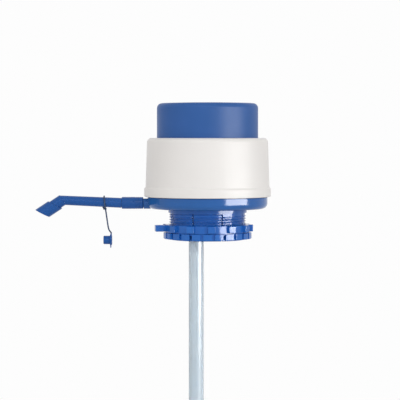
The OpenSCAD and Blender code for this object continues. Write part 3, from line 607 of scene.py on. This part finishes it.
@dataclass
class Studio:
    """The soft light, the pale surroundings and the floor."""

    ambient: float = 0.62
    ambient_tone: str = "fffbf7"
    seen_tone: str = "fdfdfd"
    floor_tone: str = "dadada"
    floor_r: float = 4.0
    floor_sides: int = 96
    floor_drop: float = 0.002
    fade_from: float = 0.3
    fade_to: float = 1.9
    least_fade: float = 0.5

    def build(self) -> None:
        """Lights the pump and lays the floor."""
        for lamp in self.lamps():
            lamp.build()
        self.surround()
        self.floor()
        bpy.context.scene.view_settings.view_transform = "Standard"
        log.info("lit the studio")

    def lamps(self) -> list[Lamp]:
        """Lists the lamps.

        Returns:
            The lamps, each at its place and power.
        """
        return [
            Lamp("key_lamp", azimuth=40.0, elevation=11.0, distance=1.5,
                 width=0.8, tall=0.5, power=4.6),
            Lamp("front_lamp", azimuth=2.0, elevation=14.0, distance=1.6,
                 width=0.9, tall=0.5, power=4.8, reach=Reach.COLOUR),
            Lamp("fill_lamp", azimuth=-62.0, elevation=8.0, distance=1.8,
                 width=0.8, tall=0.8, power=2.5, reach=Reach.COLOUR),
            Lamp("back_lamp", azimuth=170.0, elevation=25.0, distance=1.8,
                 width=1.2, tall=1.0, power=5.0, reach=Reach.COLOUR),
            Lamp("window_lamp", azimuth=57.0, elevation=-1.0, distance=1.5,
                 width=1.27, tall=0.42, power=36.0, reach=Reach.SHEEN),
            Lamp("spark_lamp", azimuth=-20.0, elevation=28.0, distance=1.5,
                 width=0.22, tall=0.22, power=1.6, reach=Reach.SHEEN),
        ]

    def surround(self) -> None:
        """Makes the world: white to look at, and softer as a light."""
        world = bpy.data.worlds.new("studio")
        bpy.context.scene.world = world
        world.use_nodes = True
        board = NodeBoard(world.node_tree)
        out = board.add("ShaderNodeOutputWorld")
        seen = board.add("ShaderNodeBackground", Color=linear(self.seen_tone), Strength=1.0)
        light = board.add("ShaderNodeBackground", Color=linear(self.ambient_tone),
                          Strength=self.ambient)
        board.join(board.mixed(self.looked_at(board), light, seen), out.inputs["Surface"])

    def looked_at(self, board: NodeBoard) -> bpy.types.NodeSocket:
        """Tells the rays that look at the surroundings from those that gather light.

        Args:
            board: The nodes to add to.

        Returns:
            A socket that is 1 for camera, glossy and transmission rays.
        """
        path = board.add("ShaderNodeLightPath")
        looked = path.outputs["Is Camera Ray"]
        for ray in ("Is Glossy Ray", "Is Transmission Ray"):
            looked = board.reckon("MAXIMUM", looked, path.outputs[ray])
        return looked

    def floor(self) -> None:
        """Lays the pale floor just under the pump's lowest point."""
        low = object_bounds()[0].z - self.floor_drop
        shape = bmesh.new()
        bmesh.ops.create_circle(shape, cap_ends=True, segments=self.floor_sides,
                                radius=self.floor_r, matrix=Matrix.Translation((0.0, 0.0, low)))
        mesh = bpy.data.meshes.new("floor")
        shape.to_mesh(mesh)
        shape.free()
        ground = bpy.data.objects.new("floor", mesh)
        bpy.context.scene.collection.objects.link(ground)
        mesh.materials.append(self.floor_finish())
        ground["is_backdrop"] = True

    def floor_finish(self) -> bpy.types.Material:
        """Makes the floor's material, which fades into the surroundings with distance.

        Returns:
            The material.
        """
        material = bpy.data.materials.new("pale_floor")
        material.use_nodes = True
        board = NodeBoard(material.node_tree)
        out = board.add("ShaderNodeOutputMaterial")
        matt = board.add("ShaderNodeBsdfDiffuse", Color=linear(self.floor_tone))
        glow = board.add("ShaderNodeEmission", Color=linear(self.seen_tone), Strength=1.0)
        place = board.add("ShaderNodeTexCoord")
        reach = board.tree.nodes.new("ShaderNodeVectorMath")
        reach.operation = "LENGTH"
        board.join(place.outputs["Object"], reach.inputs[0])
        fade = board.add("ShaderNodeMapRange", From_Min=self.fade_from, From_Max=self.fade_to,
                         To_Min=self.least_fade, To_Max=1.0)
        board.join(reach.outputs["Value"], fade.inputs["Value"])
        share = board.reckon("MULTIPLY", self.looked_at(board), fade.outputs["Result"])
        board.join(board.mixed(share, matt, glow), out.inputs["Surface"])
        return material


@dataclass
class Knot:
    """The cord's knot under the spout tube, with its short tail. Its sizes are in millimetres."""

    bench: Workbench
    lumps: tuple[tuple[Point, float], ...] = (
        ((-81.6, -0.3, 3.8), 1.0), ((-82.1, 0.3, 3.9), 0.95), ((-82.5, 0.7, 3.95), 0.85))
    lump_sides: int = 20
    lump_rings: int = 12
    tail_at: Point = (-82.9, 0.5, 3.7)
    tail_lean: Point = (-0.7, -0.4, -0.6)
    tail_length: float = 1.1
    tail_r: float = 0.6
    tail_tip_r: float = 0.5
    tail_sides: int = 16

    def build(self) -> bpy.types.Object:
        """Makes the knot as lumps that run together, and a tail.

        Returns:
            The knot.
        """
        shape = bmesh.new()
        for centre, radius in self.lumps:
            bmesh.ops.create_uvsphere(shape, u_segments=self.lump_sides, v_segments=self.lump_rings,
                                      radius=radius * MM,
                                      matrix=Matrix.Translation(Vector(centre) * MM))
        lean = Vector(self.tail_lean).to_track_quat("Z", "Y").to_matrix().to_4x4()
        bmesh.ops.create_cone(shape, cap_ends=True, segments=self.tail_sides,
                              radius1=self.tail_r * MM, radius2=self.tail_tip_r * MM,
                              depth=self.tail_length * MM,
                              matrix=Matrix.Translation(Vector(self.tail_at) * MM) @ lean)
        return self.bench.place(self.bench.close("tether_knot_lump", shape), CORD_BLUE, Body.CAP,
                                Slot.PUMP_BLUE, ("tether_knot",))


@dataclass
class Tether(SubAssembly):
    """The cord that carries the stopper: one turn round the spout tube, then straight down.

    The route's points and sizes are in millimetres.
    """

    thickness: float = 1.2 * MM
    knot_points: tuple[Point, ...] = ((-82.6, 1.0, 4.3), (-83.2, 1.7, 4.6))
    wrap_x: float = -83.9
    wrap_step: float = 2.4
    wrap_z: float = 9.1
    wrap_r: float = 4.75
    wrap_from: float = 30.0
    wrap_to: float = 340.0
    wrap_parts: int = 20
    hang_points: tuple[Point, ...] = (
        (-81.5, -1.0, 4.3), (-81.5, -0.5, 3.6), (-81.4, -0.1, 2.2), (-81.1, 0.0, 0.4),
        (-80.8, 0.0, -1.8), (-80.4, 0.0, -4.6), (-80.0, 0.0, -7.4), (-79.6, 0.0, -10.0),
        (-79.1, 0.0, -12.2), (-78.5, 0.0, -13.6), (-77.8, 0.0, -14.6))
    lug_x: float = -77.15
    lug_top: float = -16.15
    lug_lead: float = 0.8
    section_steps: int = 4
    smooth_steps: int = 4
    stopper_edge: float = 0.12 * MM

    def route(self) -> list[Vector]:
        """Lists the points of the cord's centreline.

        Returns:
            The points from the knot to the stopper's lug.
        """
        turn = []
        for i in range(self.wrap_parts + 1):
            angle = self.wrap_from + (self.wrap_to - self.wrap_from) * i / self.wrap_parts
            turn.append((self.wrap_x + self.wrap_step * angle / 360,
                         self.wrap_r * math.sin(math.radians(angle)),
                         self.wrap_z - self.wrap_r * math.cos(math.radians(angle))))
        lug = [(self.lug_x, 0.0, self.lug_top + self.lug_lead), (self.lug_x, 0.0, self.lug_top)]
        return [Vector(p) * MM for p in [*self.knot_points, *turn, *self.hang_points, *lug]]

    def build(self) -> None:
        """Makes the cord, its knot and the stopper."""
        points = self.route()
        cord = self.bench.place(self.cord(points), CORD_BLUE, Body.CAP, Slot.PUMP_BLUE,
                                ("cap_tether",))
        stopper = self.bench.soften("spout_plug", self.stopper_edge, SPOUT_BLUE, Body.CAP,
                                    Slot.PUMP_BLUE)
        knot = Knot(self.bench).build()

    def cord(self, points: list[Vector]) -> bpy.types.Object:
        """Makes the cord as a round curve through the points.

        Args:
            points: The points of its centreline.

        Returns:
            The cord, not yet in the scene.
        """
        curve = bpy.data.curves.new("tether_cord", "CURVE")
        curve.dimensions = "3D"
        curve.bevel_depth = self.thickness / 2
        curve.bevel_resolution = self.section_steps
        curve.use_fill_caps = True
        curve.resolution_u = self.smooth_steps
        line = curve.splines.new("BEZIER")
        line.bezier_points.add(len(points) - 1)
        for handle, point in zip(line.bezier_points, points):
            handle.co = point
            handle.handle_left_type = handle.handle_right_type = "AUTO"
        return bpy.data.objects.new("tether_cord", curve)


@dataclass
class ButtonAndCollar(SubAssembly):
    """The push button, the white collar, and the bellows and spring inside them."""

    stroke: float = 24.0 * MM
    plate_top: float = 16.1 * MM
    flange_top: float = 17.5 * MM
    bellows_top: float = 84.6 * MM
    spring_top: float = 83.1 * MM
    spring_r: float = 24.0 * MM
    wire: float = 2.0 * MM
    wire_sides: int = 12
    turns: int = 9
    turn_steps: int = 48
    end_pitch: float = 2.6 * MM
    button_edge: float = 0.25 * MM
    collar_edge: float = 0.3 * MM
    bellows_edge: float = 0.35 * MM

    def build(self) -> None:
        """Makes the outer mouldings, the bellows and the spring."""
        self.bench.soften("push_button", self.button_edge, CAP_BLUE, Body.BUTTON, Slot.CAP_BLUE)
        self.bench.soften("collar", self.collar_edge, SHELL_WHITE, Body.BASE, Slot.SHELL_WHITE)
        bellows = self.bench.soften("bellows", self.bellows_edge, RUBBER, Body.BASE, Slot.RUBBER)
        self.press(bellows, self.flange_top, self.bellows_top)
        self.press(self.spring(), self.plate_top, self.spring_top)
        self.bench.dress(["ring_screws"], BRIGHT_WIRE)
        self.bench.dress(["bellows_ring"], VALVE_WHITE)

    def press(self, piece: bpy.types.Object, low: float, high: float) -> None:
        """Gives a soft piece a mesh of its own.

        Args:
            piece: The bellows or the spring.
            low: Not used.
            high: Not used.
        """
        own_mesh(piece)

    def spring(self) -> bpy.types.Object:
        """Winds the return spring, with a close turn at each end.

        Returns:
            The spring.
        """
        shape = bmesh.new()
        section = bmesh.ops.create_circle(shape, cap_ends=True, segments=self.wire_sides,
                                          radius=self.wire / 2,
                                          matrix=Matrix.Rotation(math.pi / 2, 4, "X"))
        bmesh.ops.translate(shape, verts=section["verts"],
                            vec=(self.spring_r, 0, self.plate_top + self.wire / 2))
        middle = self.turns - 2
        free = (self.spring_top - self.plate_top - self.wire - 2 * self.end_pitch) / middle
        end = shape.faces[:]
        ends = []
        for count, pitch in ((1, self.end_pitch), (middle, free), (1, self.end_pitch)):
            wound = bmesh.ops.spin(shape, geom=end, cent=(0, 0, 0), axis=(0, 0, 1),
                                   dvec=(0, 0, pitch / self.turn_steps),
                                   angle=math.tau * count, steps=self.turn_steps * count)
            end = [g for g in wound["geom_last"] if isinstance(g, bmesh.types.BMFace)]
            ends += end
        # All but the last of these ends would be walls inside the wire
        bmesh.ops.delete(shape, geom=ends[:-1], context="FACES_ONLY")
        bmesh.ops.remove_doubles(shape, verts=shape.verts[:], dist=WELD)
        bmesh.ops.recalc_face_normals(shape, faces=shape.faces[:])
        return self.bench.place(self.bench.close("return_spring_wire", shape), BRIGHT_WIRE,
                                Body.BASE, Slot.STEEL, ("return_spring",))


@dataclass
class BaseAndValves(SubAssembly):
    """The base dish with the water way, the valves and the seals."""

    base_edge: float = 0.25 * MM

    def build(self) -> None:
        """Makes the base's moulding and dresses what is inside it."""
        self.bench.soften("base_dish", self.base_edge, PUMP_BLUE, Body.BASE, Slot.PUMP_BLUE)
        self.bench.dress(["water_elbow"], PUMP_BLUE)
        self.bench.dress(["valve_plate", "inlet_cage", "outlet_cage"], VALVE_WHITE)
        self.bench.dress(["inlet_disc", "outlet_disc", "floor_seals", "neck_gasket",
                          "spout_o_ring"], RUBBER)


@dataclass
class NeckClamp(SubAssembly):
    """The split collet and the toothed pressure ring round it."""

    collet_edge: float = 0.15 * MM
    ring_edge: float = 0.22 * MM

    def build(self) -> None:
        """Makes the collet and the ring."""
        self.bench.soften("clamp_collet", self.collet_edge, CLAMP_BLUE, Body.BASE, Slot.PUMP_BLUE)
        self.bench.soften("pressure_ring", self.ring_edge, CLAMP_BLUE, Body.PRESSURE_RING,
                          Slot.PUMP_BLUE)


@dataclass
class ColletThread(SubAssembly):
    """The helical thread on the collet's jaws, broken by their slots.

    The shares are parts of the pitch: half the ridge's width at its root and at its crest. The
    crest's edge is blunted by crest_edge, where the ridge is edge_flare times as wide.
    """

    jaws: int = 8
    slot_w: float = 1.0 * MM
    slot_play: float = 0.1 * MM
    root_r: float = 29.5 * MM
    crest_r: float = 30.6 * MM
    foot: float = -19.6 * MM
    head: float = 0.1 * MM
    pitch: float = 2.0 * MM
    root_share: float = 0.36
    crest_share: float = 0.09
    crest_edge: float = 0.12 * MM
    edge_flare: float = 1.8
    run_steps: int = 10

    def build(self) -> None:
        """Winds the thread from the jaws' tips up to the gasket."""
        shape = bmesh.new()
        mid_r = (self.root_r + self.crest_r) / 2
        gap = math.degrees((self.slot_w + self.slot_play) / mid_r)
        step = 360 / self.jaws
        runs = int((self.head - self.foot) / self.pitch * self.jaws)
        for i in range(runs):
            start = step / 2 + gap / 2 + i * step
            self.run(shape, start, self.foot + self.pitch * i / self.jaws, step - gap)
        bmesh.ops.recalc_face_normals(shape, faces=shape.faces[:])
        self.bench.place(self.bench.close("collet_thread", shape), CLAMP_BLUE, Body.BASE,
                         Slot.PUMP_BLUE)

    def run(self, shape: bmesh.types.BMesh, start: float, height: float, sweep: float) -> None:
        """Adds the thread's run along one jaw.

        Args:
            shape: The thread so far.
            start: The angle at which the run starts, in degrees.
            height: The run's height at its start.
            sweep: The angle that it covers.
        """
        half = self.pitch * self.root_share
        crest = self.pitch * self.crest_share
        flare = crest * self.edge_flare
        edge_r = self.crest_r - self.crest_edge
        profile = [(self.root_r, -half), (edge_r, -flare), (self.crest_r, -crest),
                   (self.crest_r, crest), (edge_r, flare), (self.root_r, half)]
        corners = [shape.verts.new(polar(r, start, height + z)) for r, z in profile]
        face = shape.faces.new(corners)
        climb = self.pitch * sweep / 360 / self.run_steps
        bmesh.ops.spin(shape, geom=[face], cent=(0, 0, 0), axis=(0, 0, 1), dvec=(0, 0, climb),
                       angle=math.radians(sweep), steps=self.run_steps)


@dataclass
class ClampNut(SubAssembly):
    """The ring nut with its grip lugs, one of which is a long thumb tab.

    The front lug stands front_turn degrees past the front. The tab is the lug that lies nearest
    to a share of a turn, tab_share, before it.
    """

    outer_r: float = 33.6 * MM
    bore_r: float = 30.7 * MM
    bore_chamfer: float = 0.6 * MM
    pocket_r: float = 32.1 * MM
    low: float = -15.0 * MM
    top: float = -8.6 * MM
    pocket_top: float = -12.6 * MM
    edge: float = 0.35 * MM
    edge_angle: float = 40.0
    edge_steps: int = 3
    lugs: int = 13
    lug_steps: int = 12
    lug_w: float = 6.2 * MM
    lug_h: float = 5.4 * MM
    lug_reach: float = 2.9 * MM
    lug_root: float = 1.5 * MM
    lug_edge: float = 0.45 * MM
    lug_drop: float = 0.2 * MM
    tab_h: float = 5.2 * MM
    tab_reach: float = 8.9 * MM
    tab_share: float = 0.23
    front_turn: float = 5.0

    def build(self) -> None:
        """Turns the nut's ring, and sets the tab and the other lugs on it."""
        chamfer_r = self.bore_r + self.bore_chamfer
        shape = turned([(self.outer_r, self.low), (self.outer_r, self.top), (chamfer_r, self.top),
                        (self.bore_r, self.top - self.bore_chamfer),
                        (self.bore_r, self.pocket_top), (self.pocket_r, self.pocket_top),
                        (self.pocket_r, self.low)], self.lugs * self.lug_steps)
        round_edges(shape, self.edge, self.edge_steps, self.edge_angle)
        tab = self.front_turn + FRONT - round(self.lugs * self.tab_share) * 360 / self.lugs
        self.lug(shape, tab, self.tab_reach, self.tab_h)
        for i in range(1, self.lugs):
            self.lug(shape, tab + 360 * i / self.lugs, self.lug_reach, self.lug_h)
        self.bench.place(self.bench.close("clamp_nut_moulded", shape), CLAMP_BLUE, Body.NUT,
                         Slot.PUMP_BLUE, ("clamp_nut",))

    def lug(self, shape: bmesh.types.BMesh, angle: float, reach: float, tall: float) -> None:
        """Adds one rounded grip lug.

        Args:
            shape: The nut so far.
            angle: The lug's angle from +X, in degrees.
            reach: How far it stands out of the nut.
            tall: Its height.
        """
        middle_x = self.outer_r + (reach - self.lug_root) / 2
        middle_z = self.top - self.lug_drop - tall / 2
        block = bmesh.new()
        bmesh.ops.create_cube(block, size=1.0)
        bmesh.ops.scale(block, vec=(reach + self.lug_root, self.lug_w, tall), verts=block.verts[:])
        bmesh.ops.translate(block, vec=(middle_x, 0, middle_z), verts=block.verts[:])
        round_edges(block, self.lug_edge, self.edge_steps)
        bmesh.ops.rotate(block, verts=block.verts[:], cent=(0, 0, 0),
                         matrix=Matrix.Rotation(math.radians(angle), 3, "Z"))
        mesh = bpy.data.meshes.new("lug")
        block.to_mesh(mesh)
        block.free()
        shape.from_mesh(mesh)
        bpy.data.meshes.remove(mesh)


@dataclass
class Spout(SubAssembly):
    """The sleeve, the bent tube and the slanted nozzle."""

    edges: tuple[tuple[str, float], ...] = (
        ("spout_coupling", 0.12 * MM), ("spout_tube", 0.5 * MM), ("nozzle", 0.2 * MM))

    def build(self) -> None:
        """Makes the spout's mouldings."""
        for node, edge in self.edges:
            self.bench.soften(node, edge, SPOUT_BLUE, Body.SPOUT, Slot.PUMP_BLUE)


@dataclass
class DipTube(SubAssembly):
    """The dip tube in two lengths, with its joining sleeve and its foot."""

    edge: float = 0.15 * MM

    def build(self) -> None:
        """Dresses the tubes and makes the joining sleeve and the foot."""
        self.bench.dress(["dip_tube_upper", "dip_tube_lower"], MILK_CLEAR)
        for node in ("tube_joiner", "tube_foot"):
            self.bench.soften(node, self.edge, PUMP_BLUE, Body.BASE, Slot.PUMP_BLUE)


def main() -> None:
    """Builds the camera, the cord, the pump's sub-assemblies and the studio, in that order."""
    logging.basicConfig(level=logging.INFO, format="%(name)s: %(message)s")
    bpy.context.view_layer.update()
    bench = Workbench(frame["nodes"])
    StudioCamera().build()
    for kind in (Tether, ButtonAndCollar, BaseAndValves, NeckClamp, ColletThread, ClampNut, Spout,
                 DipTube):
        kind(bench).build()
    Studio().build()


if __name__ == "__main__":
    main()
